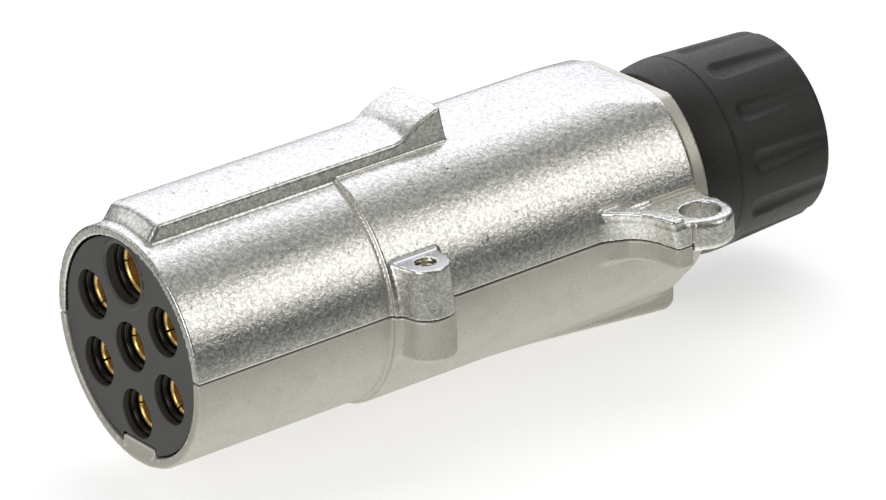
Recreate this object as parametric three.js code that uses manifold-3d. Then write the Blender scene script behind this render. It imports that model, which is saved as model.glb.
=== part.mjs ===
// Seven-pole trailer wiring plug: two die-cast shell halves around a contact insert, closed on the
// cable by a gland nut. Millimetres. +X runs from the mating face to the gland nut and +Z is the
// coding ridge's side. Everything is laid out with the barrel's axis on X and the mouth at x = 0,
// and the last group moves the origin to the bottom centre of the whole plug.
import * as THREE from "three";
import { mergeVertices } from "three/addons/utils/BufferGeometryUtils.js";
import Module from "manifold-3d";

const wasm = await Module();
wasm.setup();

// Facets around a round surface.
const SHELL_FACETS = 48;
const SMALL_FACETS = 16;
const THREAD_STEPS_PER_TURN = 24;
const WING_STEPS = 6;

// How far a cutting tool runs past the surface that it opens.
const OVERCUT = 1;

// Clearances between separate pieces.
const PARTING_GAP = 0.3;
const SEAT_GAP = 0.3;
const CONTACT_GAP = 0.25;
const THREAD_GAP = 0.35;

// Barrel and body of the two shell halves.
const BARREL_RADIUS = 21.25;
const BARREL_LENGTH = 39;
const MOUTH_CHAMFER = 0.5;
const BODY_STEP = 0.89;
const BODY_LENGTH = 65;
const BODY_REAR_ROUND = 2;
const COLLAR_STEP = 1.34;
const COLLAR_LENGTH = 3;
const COLLAR_FLAT_DROP = 4.64;
const BARREL_WALL = 1.8;
const BODY_WALL = 3.14;

// Coding ridge and latch hook on top.
const RIDGE_HALF_WIDTH = 7;
const RIDGE_HEIGHT = 2.85;
const RIDGE_START = 0.7;
const RIDGE_LEAD = 3.1;
const HOOK_START = 52.3;
const HOOK_TOE = 1;
const HOOK_RAMP = 5.4;
const HOOK_CREST = 6.85;
const HOOK_END = 62.3;
const HOOK_REAR_LEAN = 1;
const HOOK_ROUND = 1.3;

// Flat on top of the body, which slants down near the rear end.
const TOP_FLAT_DROP = 1.14;
const SLANT_LENGTH = 8.7;
const SLANT_DROP = 2.1;

// Screw bosses at the sides.
const BOSS_X = 44.8;
const BOSS_OFFSET = 1.56;
const BOSS_RADIUS = 4.3;
const BOSS_FOOT_GAP = 0.3;
const BOSS_TOP = 9;
const BOSS_BOTTOM = 8;
const SCREW_RADIUS = 1.65;
const SCREW_HOLE_GAP = 0.3;
const SCREW_TIP = 6;
const SCREW_HEAD_RADIUS = 2.9;
const SCREW_HEAD_HEIGHT = 2.4;
const SCREW_RECESS_WIDTH = 0.9;
const SCREW_RECESS_LENGTH = 3.6;
const SCREW_RECESS_DEPTH = 1.3;
const WASHER_RADIUS = 3;
const WASHER_THICKNESS = 0.9;
const WASHER_GAP = 0.05;
const COUNTERBORE_GAP = 0.3;

// Curved wings at the rear, and the eyelets behind them.
const WING_START = 83.9;
const WING_END = 89.8;
const WING_SPAN = 11.8;
const WING_THICKNESS = 3.5;
const WING_WALL = 2.7;
const WING_TOP = 5.5;
const WING_BOTTOM = 4;
const EYELET_X = 98.2;
const EYELET_OFFSET = 7.3;
const EYELET_RADIUS = 5.8;
const EYELET_HOLE_RADIUS = 3.5;
const EYELET_TOP = 3.8;
const EYELET_BOTTOM = 1.8;
const EYELET_ROOT_INSET = 0.9;

// Foot below the body.
const FOOT_HALF_WIDTH = 8.5;
const FOOT_START = 67;
const FOOT_START_INSET = 1.68;
const FOOT_SLOPE = 0.103;
const FOOT_OVERHANG = 0.7;
const FOOT_ROUND = 2.5;

// Split threaded neck that the gland nut runs on. Its axis lies a little below the barrel's.
const GLAND_DROP = 0.4;
const NECK_LENGTH = 19;
const NECK_ROOT_RADIUS = 13.6;
const NECK_BORE_RADIUS = 9.5;
const NECK_TIP_CHAMFER = 0.8;
const THREAD_HEIGHT = 1;
const THREAD_PITCH = 3;
const THREAD_ROOT_WIDTH = 1.6;
const THREAD_CREST_WIDTH = 0.7;
const THREAD_START = 4;

// Contact insert.
const INSERT_RECESS = 0.5;
const INSERT_FLANGE_LENGTH = 5.5;
const INSERT_FLANGE_STEP = 0.45;
const INSERT_LENGTH = 35.5;
const KEY_HALF_WIDTH = 4.75;
const KEY_HEIGHT = 2;
const KEY_LENGTH = 8;
const STOP_RIB_LENGTH = 2;
const STOP_RIB_HEIGHT = 0.9;

// Socket contacts: one in the middle, five around it and the larger earth contact at the top.
const RING_RADIUS = 12.3;
const EARTH_RADIUS = 13.2;
const SMALL_CONTACT = { bore: 3.05, well: 4.37, wellDepth: 2 };
const LARGE_CONTACT = { bore: 4.2, well: 5.25, wellDepth: 2.6 };
const CONTACT_WALL = 0.75;
const LIP_HEIGHT = 0.45;
const LIP_LENGTH = 0.5;
const CONTACT_BORE_DEPTH = 20;
const SLIT_WIDTH = 0.5;
const SLIT_LENGTH = 12;
const TAIL_RADIUS = 3.7;
const TAIL_SHOULDER = 2;
const TAIL_LENGTH = 11;
const CENTRE_TAIL_EXTRA = 11;
const WIRE_HOLE_RADIUS = 2.2;
const WIRE_HOLE_DEPTH = 9;
const TERMINAL_SCREW_RADIUS = 1.3;
const TERMINAL_SCREW_GAP = 0.3;
const TERMINAL_SCREW_SETBACK = 5.5;
const TERMINAL_SCREW_STAND = 0.9;
const TERMINAL_SCREW_REACH = 1.4;
const TERMINAL_SLOT_WIDTH = 0.5;
const TERMINAL_SLOT_DEPTH = 0.8;

// Cable seal, slip ring and gland nut.
const SEAL_SEAT = 3;
const SEAL_RADIUS = 11.1;
const SEAL_BORE_RADIUS = 6.5;
const SEAL_STAND = 1.6;
const SEAL_CHAMFER = 0.9;
const RING_THICKNESS = 1.6;
const RING_OUTER_RADIUS = 13.2;
const RING_BORE_RADIUS = 7.6;
const NUT_GAP = 2.3;
const NUT_MOUTH_WALL = 2.2;
const NUT_CONE_LENGTH = 7.3;
const NUT_WALL = 3.55;
const NUT_CREASE = 0.2;
const NUT_TAPER = 1;
const NUT_REAR_ROUND = 1.5;
const NUT_REAR_WALL = 7.7;
const NUT_CABLE_RADIUS = 8.6;
const NUT_FLARE = 1.8;
const NUT_THREAD_LENGTH = 9;
const FLUTE_COUNT = 12;
const FLUTE_PHASE = THREE.MathUtils.degToRad(21.5);
const FLUTE_RADIUS = 3.4;
const FLUTE_DEPTH = 0.85;
const FLUTE_START_GAP = 1.2;

// Places that follow from the sizes above.
const BODY_RADIUS = BARREL_RADIUS + BODY_STEP;
const BODY_END = BARREL_LENGTH + BODY_LENGTH;
const COLLAR_RADIUS = BODY_RADIUS - COLLAR_STEP;
const COLLAR_END = BODY_END + COLLAR_LENGTH;
const BARREL_BORE = BARREL_RADIUS - BARREL_WALL;
const CHAMBER_RADIUS = BODY_RADIUS - BODY_WALL;
const RIDGE_RADIUS = BARREL_RADIUS + RIDGE_HEIGHT;
const CREST_RADIUS = BARREL_RADIUS + HOOK_CREST;
const TOP_FLAT = BODY_RADIUS - TOP_FLAT_DROP;
const BOSS_Y = BODY_RADIUS + BOSS_OFFSET;
const EYELET_Y = BODY_RADIUS + EYELET_OFFSET;
const SCREW_SEAT = -BOSS_BOTTOM + SCREW_HEAD_HEIGHT + WASHER_THICKNESS + 3 * WASHER_GAP;
const WING_TIP = BODY_RADIUS + WING_SPAN;
const NECK_END = COLLAR_END + NECK_LENGTH;
const THREAD_RADIUS = NECK_ROOT_RADIUS + THREAD_HEIGHT;
const SEAL_START = COLLAR_END + SEAL_SEAT;
const SEAL_END = NECK_END + SEAL_STAND;
const INSERT_END = INSERT_RECESS + INSERT_LENGTH;
const INSERT_FLANGE_END = INSERT_RECESS + INSERT_FLANGE_LENGTH;
const INSERT_FLANGE_RADIUS = BARREL_BORE - SEAT_GAP;
const INSERT_RADIUS = INSERT_FLANGE_RADIUS - INSERT_FLANGE_STEP;
const INSERT_BORE = INSERT_RADIUS + SEAT_GAP;
const KEY_TOP = -BARREL_BORE + KEY_HEIGHT;
const RING_START = SEAL_END + SEAT_GAP;
const RING_END = RING_START + RING_THICKNESS;
const NUT_START = COLLAR_END + NUT_GAP;
const NUT_SHOULDER = RING_END + SEAT_GAP;
const NUT_END = NUT_SHOULDER + NUT_REAR_WALL;
const NUT_CREASE_X = NUT_START + NUT_CONE_LENGTH;
const NUT_BORE = NECK_ROOT_RADIUS + THREAD_GAP;
const NUT_MOUTH_RADIUS = THREAD_RADIUS + NUT_MOUTH_WALL;
const NUT_RADIUS = THREAD_RADIUS + NUT_WALL;
const FOOT_END = COLLAR_END + FOOT_OVERHANG;
const FOOT_START_DROP = BODY_RADIUS - FOOT_START_INSET;
const FOOT_DROP = FOOT_START_DROP + FOOT_SLOPE * (FOOT_END - FOOT_ROUND - FOOT_START);
const FAR = 2 * NUT_END;

const SIDES = [
  { side: -1, label: "left" },
  { side: 1, label: "right" },
];

const FINISHES = {
  castMetal: { color: 0xb9b8b4, roughness: 0.38, metalness: 0.9 },
  castMetalDull: { color: 0xa6a296, roughness: 0.5, metalness: 0.8 },
  insertPlastic: { color: 0x3c3c3c, roughness: 0.45, metalness: 0 },
  nutPlastic: { color: 0x232323, roughness: 0.6, metalness: 0 },
  brass: { color: 0xb98a3a, roughness: 0.25, metalness: 1 },
  zincSteel: { color: 0xb5a26a, roughness: 0.35, metalness: 1 },
  sealRubber: { color: 0x1b1b1b, roughness: 0.85, metalness: 0 },
  ringPlastic: { color: 0x6f6f6c, roughness: 0.55, metalness: 0 },
};

// ---- Geometry helpers ----

// A closed geometry as a solid. A profile drawn the other way round gives inward faces, which turn.
function solid(geometry) {
  const bare = geometry.index ? geometry.toNonIndexed() : geometry.clone();
  bare.deleteAttribute("normal");
  bare.deleteAttribute("uv");
  const merged = mergeVertices(bare, 1e-4);
  const triVerts = new Uint32Array(merged.index.array);
  const vertProperties = new Float32Array(merged.attributes.position.array);
  const made = new wasm.Manifold(new wasm.Mesh({ numProp: 3, vertProperties, triVerts }));
  if (made.volume() >= 0) return made;
  for (let i = 0; i < triVerts.length; i += 3) {
    triVerts.subarray(i, i + 2).reverse();
  }
  return new wasm.Manifold(new wasm.Mesh({ numProp: 3, vertProperties, triVerts }));
}

function join(solids) {
  return solids.reduce((whole, piece) => whole.add(piece));
}

function cut(body, tools) {
  return tools.reduce((left, tool) => left.subtract(tool), body);
}

// A named mesh of a solid.
function part(name, body, finish) {
  const { numProp, vertProperties, triVerts } = body.getMesh();
  const positions = new Float32Array((vertProperties.length / numProp) * 3);
  for (let v = 0; v < positions.length / 3; v++) {
    positions.set(vertProperties.subarray(v * numProp, v * numProp + 3), v * 3);
  }
  const geometry = new THREE.BufferGeometry();
  geometry.setAttribute("position", new THREE.BufferAttribute(positions, 3));
  geometry.setIndex(new THREE.BufferAttribute(new Uint32Array(triVerts), 1));
  geometry.computeVertexNormals();
  const mesh = new THREE.Mesh(geometry, new THREE.MeshStandardMaterial(finish));
  mesh.name = name;
  return mesh;
}

// A solid of revolution about X through (0, y, z), from a profile of [x, radius] points. Corners lie
// on the +Z line, so that mirrored pieces match.
function revolve(profile, facets, y = 0, z = 0) {
  const points = profile.map(([x, radius]) => new THREE.Vector2(radius, x));
  const geometry = new THREE.LatheGeometry(points, facets);
  geometry.rotateZ(-Math.PI / 2);
  geometry.rotateX(-Math.PI / 2);
  geometry.translate(0, y, z);
  return solid(geometry);
}

function rod(xLow, xHigh, radius, facets, y = 0, z = 0) {
  const profile = [
    [xLow, 0],
    [xLow, radius],
    [xHigh, radius],
    [xHigh, 0],
  ];
  return revolve(profile, facets, y, z);
}

function box(xLow, xHigh, yLow, yHigh, zLow, zHigh) {
  const geometry = new THREE.BoxGeometry(xHigh - xLow, yHigh - yLow, zHigh - zLow);
  geometry.translate((xLow + xHigh) / 2, (yLow + yHigh) / 2, (zLow + zHigh) / 2);
  return solid(geometry);
}

function extrusion(outline, depth) {
  const shape = new THREE.Shape(outline.map(([u, v]) => new THREE.Vector2(u, v)));
  return new THREE.ExtrudeGeometry(shape, { depth, bevelEnabled: false });
}

// An outline of [x, y] points, raised from zLow to zHigh.
function prismZ(outline, zLow, zHigh) {
  return solid(extrusion(outline, zHigh - zLow).translate(0, 0, zLow));
}

// An outline of [x, z] points, drawn out from -halfWidth to halfWidth along Y.
function prismY(outline, halfWidth) {
  const geometry = extrusion(outline, 2 * halfWidth);
  geometry.rotateX(Math.PI / 2);
  return solid(geometry.translate(0, halfWidth, 0));
}

// A cylinder along Z.
function post(x, y, radius, zLow, zHigh, facets) {
  const geometry = new THREE.CylinderGeometry(radius, radius, zHigh - zLow, facets);
  geometry.rotateX(Math.PI / 2);
  return solid(geometry.translate(x, y, (zLow + zHigh) / 2));
}

// Points on an arc about (u, v), both ends included.
function arc(u, v, radius, fromAngle, toAngle, steps) {
  return Array.from({ length: steps + 1 }, (_, i) => {
    const angle = fromAngle + ((toAngle - fromAngle) * i) / steps;
    return [u + radius * Math.cos(angle), v + radius * Math.sin(angle)];
  });
}

// The convex outline around a set of points.
function convexOutline(points) {
  const sorted = [...points].sort((a, b) => a[0] - b[0] || a[1] - b[1]);
  const turn = (o, a, b) => (a[0] - o[0]) * (b[1] - o[1]) - (a[1] - o[1]) * (b[0] - o[0]);
  const chain = (list) => {
    const hull = [];
    for (const point of list) {
      while (hull.length > 1 && turn(hull.at(-2), hull.at(-1), point) <= 1e-6) hull.pop();
      hull.push(point);
    }
    return hull.slice(0, -1);
  };
  return [...chain(sorted), ...chain(sorted.reverse())];
}

function mirrored(outline, side) {
  return outline.map(([x, y]) => [x, side * y]);
}

// A right-hand thread's rib: a box whose length is wound around the gland's axis. Its root lies at
// rootRadius and its crest at crestRadius.
function threadRib(xStart, xEnd, rootRadius, crestRadius, rootWidth, crestWidth) {
  const turns = (xEnd - xStart) / THREAD_PITCH;
  const steps = Math.ceil(turns * THREAD_STEPS_PER_TURN);
  const geometry = new THREE.BoxGeometry(1, 1, 1, steps, 1, 1);
  const place = geometry.getAttribute("position");
  for (let i = 0; i < place.count; i++) {
    const along = place.getX(i) + 0.5;
    const outward = place.getY(i) + 0.5;
    const width = THREE.MathUtils.lerp(rootWidth, crestWidth, outward);
    const radius = THREE.MathUtils.lerp(rootRadius, crestRadius, outward);
    const angle = 2 * Math.PI * turns * along + (2 * Math.PI * (xStart - COLLAR_END)) / THREAD_PITCH;
    const x = THREE.MathUtils.lerp(xStart, xEnd, along) + place.getZ(i) * width;
    place.setXYZ(i, x, radius * Math.cos(angle), radius * Math.sin(angle) - GLAND_DROP);
  }
  return solid(geometry);
}

// ---- Shell halves ----

function shellBlank() {
  return revolve(
    [
      [0, 0],
      [0, BARREL_RADIUS - MOUTH_CHAMFER],
      [2 * MOUTH_CHAMFER, BARREL_RADIUS],
      [BARREL_LENGTH, BARREL_RADIUS],
      [BARREL_LENGTH, BODY_RADIUS],
      [BODY_END - BODY_REAR_ROUND, BODY_RADIUS],
      [BODY_END - BODY_REAR_ROUND / 3, BODY_RADIUS - COLLAR_STEP / 4],
      [BODY_END, BODY_RADIUS - COLLAR_STEP / 2],
      [BODY_END, COLLAR_RADIUS],
      [COLLAR_END, COLLAR_RADIUS],
      [COLLAR_END, 0],
    ],
    SHELL_FACETS,
  );
}

// A solid of revolution about the gland's axis.
function revolveGland(profile, facets) {
  return revolve(profile, facets, 0, -GLAND_DROP);
}

function neck() {
  return revolveGland(
    [
      [BODY_END, 0],
      [BODY_END, NECK_ROOT_RADIUS],
      [NECK_END - NECK_TIP_CHAMFER, NECK_ROOT_RADIUS],
      [NECK_END, NECK_ROOT_RADIUS - NECK_TIP_CHAMFER],
      [NECK_END, 0],
    ],
    SHELL_FACETS,
  );
}

// Everything above the body's top flat, its slant and the collar's flat.
function topCut() {
  const slantStart = BODY_END - SLANT_LENGTH;
  const outline = [
    [HOOK_START, TOP_FLAT],
    [slantStart, TOP_FLAT],
    [BODY_END, TOP_FLAT - SLANT_DROP],
    [BODY_END, BODY_RADIUS - COLLAR_FLAT_DROP],
    [COLLAR_END, BODY_RADIUS - COLLAR_FLAT_DROP],
    [COLLAR_END, BODY_RADIUS + OVERCUT],
    [HOOK_START, BODY_RADIUS + OVERCUT],
  ];
  return prismY(outline, BODY_RADIUS);
}

// The ridge, crowned round the barrel's axis, with the latch hook at its rear end.
function ridge() {
  const core = BARREL_RADIUS - BARREL_WALL / 2;
  const crown = revolve(
    [
      [RIDGE_START, 0],
      [RIDGE_START, core],
      [RIDGE_START + RIDGE_LEAD, RIDGE_RADIUS],
      [HOOK_START, RIDGE_RADIUS],
      [HOOK_START, CREST_RADIUS],
      [HOOK_END, CREST_RADIUS],
      [HOOK_END, 0],
    ],
    2 * SHELL_FACETS,
  );
  const rampTop = HOOK_START + HOOK_RAMP;
  const rearTop = HOOK_END - HOOK_REAR_LEAN;
  const crest = CREST_RADIUS - HOOK_ROUND;
  const outline = [
    [RIDGE_START, core],
    [RIDGE_START, RIDGE_RADIUS],
    [HOOK_START + HOOK_TOE, RIDGE_RADIUS],
    [rampTop, crest],
    [rampTop + HOOK_ROUND, CREST_RADIUS - HOOK_ROUND / 4],
    [rampTop + 2 * HOOK_ROUND, CREST_RADIUS + OVERCUT],
    [rearTop, CREST_RADIUS + OVERCUT],
    [HOOK_END, TOP_FLAT],
    [HOOK_END, core],
  ];
  return crown.intersect(prismY(outline, RIDGE_HALF_WIDTH));
}

function bossOutline(side) {
  const inner = CHAMBER_RADIUS + BODY_WALL / 2;
  const front = BARREL_LENGTH + BOSS_FOOT_GAP;
  const cap = arc(BOSS_X, BOSS_Y, BOSS_RADIUS, 0, 2 * Math.PI, SMALL_FACETS);
  const foot = [
    [front, BARREL_RADIUS],
    [front, inner],
    [BOSS_X + BOSS_RADIUS, inner],
  ];
  return mirrored(convexOutline([...cap, ...foot]), side);
}

// The wing's front curve leaves the body along X and ends across it.
function wingOutline(side) {
  const length = WING_END - WING_START;
  const span = WING_TIP - BODY_RADIUS;
  const front = arc(0, 0, 1, -Math.PI / 2, 0, WING_STEPS).map(([across, out]) => [
    WING_START + across * length,
    WING_TIP + out * span,
  ]);
  const rear = WING_END + WING_THICKNESS;
  const corners = [
    [rear, WING_TIP],
    [rear, BARREL_RADIUS],
    [WING_START, BARREL_RADIUS],
  ];
  const outline = [...front, ...corners];
  return mirrored(outline, side);
}

// The wing's wall alone, without the web behind it.
function wingWallOutline(side) {
  const front = wingOutline(side).slice(0, WING_STEPS + 1);
  const back = front.map(([x, y]) => [x + WING_WALL, y]);
  return [...front, ...back.reverse()];
}

function eyeletOutline(side) {
  const rim = arc(EYELET_X, EYELET_Y, EYELET_RADIUS, 0, 2 * Math.PI, 24);
  const root = [
    [WING_END + WING_WALL, WING_TIP - EYELET_ROOT_INSET],
    [WING_END + WING_WALL, BARREL_RADIUS],
    [BODY_END - EYELET_ROOT_INSET, BARREL_RADIUS],
  ];
  return mirrored(convexOutline([...rim, ...root]), side);
}

// The eyelet is all of one piece with the upper half and hangs a little below the parting plane.
function eyelet(side) {
  const upper = prismZ(eyeletOutline(side), PARTING_GAP / 2, EYELET_TOP);
  const hanging = prismZ(eyeletOutline(side), -EYELET_BOTTOM, PARTING_GAP / 2);
  const lowerHalf = rod(0, COLLAR_END, BODY_RADIUS + SEAT_GAP, SHELL_FACETS);
  const lowerWing = box(0, WING_END + WING_THICKNESS + SEAT_GAP, -FAR, FAR, -EYELET_BOTTOM, 0);
  return upper.add(cut(hanging, [lowerHalf, lowerWing]));
}

function eyeletHole(side) {
  const y = side * EYELET_Y;
  return post(EYELET_X, y, EYELET_HOLE_RADIUS, -BODY_RADIUS, BODY_RADIUS, SMALL_FACETS);
}

function foot() {
  const core = CHAMBER_RADIUS + BODY_WALL / 4;
  const corner = arc(FOOT_END - FOOT_ROUND, FOOT_ROUND - FOOT_DROP, FOOT_ROUND, -Math.PI / 2, 0, 4);
  const outline = [
    [FOOT_START, -core],
    [FOOT_START, -FOOT_START_DROP],
    ...corner,
    [FOOT_END, -core],
  ];
  return prismY(outline, FOOT_HALF_WIDTH);
}

// The hollow of both halves: insert seat, stop rib and wiring chamber.
function shellHollow() {
  const ribStart = INSERT_END + SEAT_GAP;
  const ribEnd = ribStart + STOP_RIB_LENGTH;
  const ribBore = INSERT_BORE - STOP_RIB_HEIGHT;
  const coneStart = BODY_END - SLANT_LENGTH - BODY_WALL;
  return revolve(
    [
      [-OVERCUT, 0],
      [-OVERCUT, BARREL_BORE],
      [INSERT_FLANGE_END + SEAT_GAP, BARREL_BORE],
      [INSERT_FLANGE_END + SEAT_GAP, INSERT_BORE],
      [ribStart, INSERT_BORE],
      [ribStart, ribBore],
      [ribEnd, ribBore],
      [ribEnd, CHAMBER_RADIUS],
      [coneStart, CHAMBER_RADIUS],
      [BODY_END - BODY_WALL, NECK_BORE_RADIUS],
      [BODY_END - BODY_WALL, 0],
    ],
    SHELL_FACETS,
  );
}

// The neck's bore and the wider seat for the cable seal.
function neckHollow() {
  return revolveGland(
    [
      [BODY_END - BODY_WALL - OVERCUT, 0],
      [BODY_END - BODY_WALL - OVERCUT, NECK_BORE_RADIUS],
      [SEAL_START - SEAT_GAP, NECK_BORE_RADIUS],
      [SEAL_START - SEAT_GAP, SEAL_RADIUS + SEAT_GAP],
      [NECK_END + OVERCUT, SEAL_RADIUS + SEAT_GAP],
      [NECK_END + OVERCUT, 0],
    ],
    SHELL_FACETS,
  );
}

function neckThread() {
  return threadRib(
    COLLAR_END + THREAD_START,
    NECK_END - THREAD_PITCH / 2,
    NECK_ROOT_RADIUS - THREAD_HEIGHT / 2,
    THREAD_RADIUS,
    THREAD_ROOT_WIDTH + (THREAD_ROOT_WIDTH - THREAD_CREST_WIDTH) / 2,
    THREAD_CREST_WIDTH,
  );
}

// What both halves share, whole, before the parting plane cuts it.
function castBody() {
  const trimmed = cut(shellBlank(), [topCut()]);
  return cut(join([trimmed, neck(), neckThread()]), [shellHollow(), neckHollow()]);
}

function halfSpace(zLow, zHigh) {
  return box(-OVERCUT, FAR, -FAR, FAR, zLow, zHigh);
}

function screwHole(side, zLow, zHigh) {
  return post(BOSS_X, side * BOSS_Y, SCREW_RADIUS + SCREW_HOLE_GAP, zLow, zHigh, SMALL_FACETS);
}

function upperShell() {
  const bosses = SIDES.map(({ side }) => prismZ(bossOutline(side), 0, BOSS_TOP));
  const webs = SIDES.map(({ side }) => prismZ(wingOutline(side), 0, EYELET_TOP));
  const walls = SIDES.map(({ side }) => prismZ(wingWallOutline(side), 0, WING_TOP));
  const holes = SIDES.map(({ side }) => screwHole(side, -OVERCUT, BOSS_TOP + OVERCUT));
  const whole = join([castBody(), ridge(), ...bosses, ...webs, ...walls]);
  const half = cut(whole, [shellHollow(), halfSpace(-FAR, PARTING_GAP / 2), ...holes]);
  const eyelets = SIDES.map(({ side }) => eyelet(side));
  const eyeletHoles = SIDES.map(({ side }) => eyeletHole(side));
  return cut(join([half, ...eyelets]), [...eyeletHoles, shellHollow()]);
}

// The tab at the mouth that keys the insert.
function keyTab() {
  const low = -BARREL_BORE - BARREL_WALL / 2;
  return box(INSERT_RECESS / 2, KEY_LENGTH, -KEY_HALF_WIDTH, KEY_HALF_WIDTH, low, KEY_TOP);
}

function lowerShell() {
  const bosses = SIDES.map(({ side }) => prismZ(bossOutline(side), -BOSS_BOTTOM, 0));
  const wings = SIDES.map(({ side }) => prismZ(wingOutline(side), -WING_BOTTOM, 0));
  const holes = SIDES.map(({ side }) => screwHole(side, -BOSS_BOTTOM - OVERCUT, OVERCUT));
  const boreRadius = WASHER_RADIUS + COUNTERBORE_GAP;
  const counterbores = SIDES.map(({ side }) =>
    post(BOSS_X, side * BOSS_Y, boreRadius, -BODY_RADIUS, SCREW_SEAT, SMALL_FACETS),
  );
  const whole = join([castBody(), foot(), ...bosses, ...wings]);
  const tools = [shellHollow(), halfSpace(-PARTING_GAP / 2, FAR), ...holes, ...counterbores];
  const half = cut(whole, tools);
  return half.add(keyTab());
}

// ---- Insert and contacts ----

// Every contact's place in the insert, numbered round from the earth contact at the top.
function contactPlaces() {
  const around = [30, -30, -90, -150, 150].map((degrees) => {
    const angle = THREE.MathUtils.degToRad(degrees);
    return { y: RING_RADIUS * Math.cos(angle), z: RING_RADIUS * Math.sin(angle), angle };
  });
  const earth = { y: 0, z: EARTH_RADIUS, angle: Math.PI / 2 };
  const centre = { y: 0, z: 0, angle: Math.PI / 2 };
  return [
    { ...earth, size: LARGE_CONTACT, tail: TAIL_LENGTH },
    ...around.map((place) => ({ ...place, size: SMALL_CONTACT, tail: TAIL_LENGTH })),
    { ...centre, size: SMALL_CONTACT, tail: TAIL_LENGTH + CENTRE_TAIL_EXTRA },
  ];
}

// The stepped hole for one contact: well, lip, and the bore that the contact sits in.
function contactHole({ y, z, size }) {
  const lipStart = INSERT_RECESS + size.wellDepth;
  const bore = size.bore + CONTACT_WALL + CONTACT_GAP;
  const profile = [
    [-OVERCUT, 0],
    [-OVERCUT, size.well],
    [lipStart, size.well],
    [lipStart, size.well - LIP_HEIGHT],
    [lipStart + LIP_LENGTH, size.well - LIP_HEIGHT],
    [lipStart + LIP_LENGTH, bore],
    [INSERT_END + OVERCUT, bore],
    [INSERT_END + OVERCUT, 0],
  ];
  return revolve(profile, SMALL_FACETS, y, z);
}

function contactInsert() {
  const blank = revolve(
    [
      [INSERT_RECESS, 0],
      [INSERT_RECESS, INSERT_FLANGE_RADIUS],
      [INSERT_FLANGE_END, INSERT_FLANGE_RADIUS],
      [INSERT_FLANGE_END, INSERT_RADIUS],
      [INSERT_END, INSERT_RADIUS],
      [INSERT_END, 0],
    ],
    SHELL_FACETS,
  );
  const notchHalf = KEY_HALF_WIDTH + SEAT_GAP;
  const notchTop = KEY_TOP + SEAT_GAP;
  const notchEnd = KEY_LENGTH + SEAT_GAP;
  const notch = box(-OVERCUT, notchEnd, -notchHalf, notchHalf, -BARREL_RADIUS, notchTop);
  return cut(blank, [notch, ...contactPlaces().map(contactHole)]);
}

function terminalScrewX({ tail }) {
  return INSERT_END + tail - TERMINAL_SCREW_SETBACK;
}

// A cylinder that runs outward from a contact's axis, at the contact's screw.
function screwShape(place, radius, from, to) {
  const geometry = new THREE.CylinderGeometry(radius, radius, to - from, SMALL_FACETS / 2);
  geometry.translate(0, (from + to) / 2, 0);
  geometry.rotateX(place.angle);
  return solid(geometry.translate(terminalScrewX(place), place.y, place.z));
}

// A socket contact: a slit sleeve in front, and a tail with a wire hole and a screw hole behind.
function contact(place) {
  const { y, z, size, tail } = place;
  const front = INSERT_RECESS + size.wellDepth + LIP_LENGTH + CONTACT_GAP;
  const outer = size.bore + CONTACT_WALL;
  const rear = INSERT_END + tail;
  const profile = [
    [front + CONTACT_BORE_DEPTH, 0],
    [front + CONTACT_BORE_DEPTH, size.bore],
    [front + CONTACT_WALL / 2, size.bore],
    [front, size.bore + CONTACT_WALL / 2],
    [front, outer],
    [INSERT_END - TAIL_SHOULDER, outer],
    [INSERT_END - TAIL_SHOULDER, TAIL_RADIUS],
    [rear, TAIL_RADIUS],
    [rear, WIRE_HOLE_RADIUS],
    [rear - WIRE_HOLE_DEPTH, WIRE_HOLE_RADIUS],
    [rear - WIRE_HOLE_DEPTH, 0],
  ];
  const half = SLIT_WIDTH / 2;
  const reach = outer + OVERCUT;
  const slitEnd = front + SLIT_LENGTH;
  const slits = [
    box(0, slitEnd, y - reach, y + reach, z - half, z + half),
    box(0, slitEnd, y - half, y + half, z - reach, z + reach),
  ];
  const holeRadius = TERMINAL_SCREW_RADIUS + TERMINAL_SCREW_GAP;
  const hole = screwShape(place, holeRadius, 0, TAIL_RADIUS + OVERCUT);
  return cut(revolve(profile, SMALL_FACETS, y, z), [...slits, hole]);
}

function terminalScrew(place) {
  const top = TAIL_RADIUS + TERMINAL_SCREW_STAND;
  const shank = screwShape(place, TERMINAL_SCREW_RADIUS, TERMINAL_SCREW_REACH, top);
  const slotLength = 2 * (TERMINAL_SCREW_RADIUS + OVERCUT);
  const slotHeight = TERMINAL_SLOT_DEPTH + OVERCUT;
  const slot = new THREE.BoxGeometry(slotLength, slotHeight, TERMINAL_SLOT_WIDTH);
  slot.translate(0, top - TERMINAL_SLOT_DEPTH + slotHeight / 2, 0);
  slot.rotateX(place.angle);
  slot.translate(terminalScrewX(place), place.y, place.z);
  return shank.subtract(solid(slot));
}

// ---- Housing screws ----

function lockWasher(side) {
  const top = SCREW_SEAT - WASHER_GAP;
  const bottom = top - WASHER_THICKNESS;
  const y = side * BOSS_Y;
  const disc = post(BOSS_X, y, WASHER_RADIUS, bottom, top, SMALL_FACETS);
  return disc.subtract(screwHole(side, bottom - OVERCUT, top + OVERCUT));
}

function housingScrew(side) {
  const headTop = SCREW_SEAT - 2 * WASHER_GAP - WASHER_THICKNESS;
  const headBottom = headTop - SCREW_HEAD_HEIGHT;
  const y = side * BOSS_Y;
  const recessHalf = SCREW_RECESS_LENGTH / 2;
  const slotHalf = SCREW_RECESS_WIDTH / 2;
  const recessTop = headBottom + SCREW_RECESS_DEPTH;
  const head = post(BOSS_X, y, SCREW_HEAD_RADIUS, headBottom, headTop, SMALL_FACETS);
  const shank = post(BOSS_X, y, SCREW_RADIUS, recessTop, SCREW_TIP, SMALL_FACETS);
  const cross = [
    [recessHalf, slotHalf],
    [slotHalf, recessHalf],
  ].map(([u, v]) => box(BOSS_X - u, BOSS_X + u, y - v, y + v, headBottom - OVERCUT, recessTop));
  return cut(head.add(shank), cross);
}

// ---- Gland ----

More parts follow.
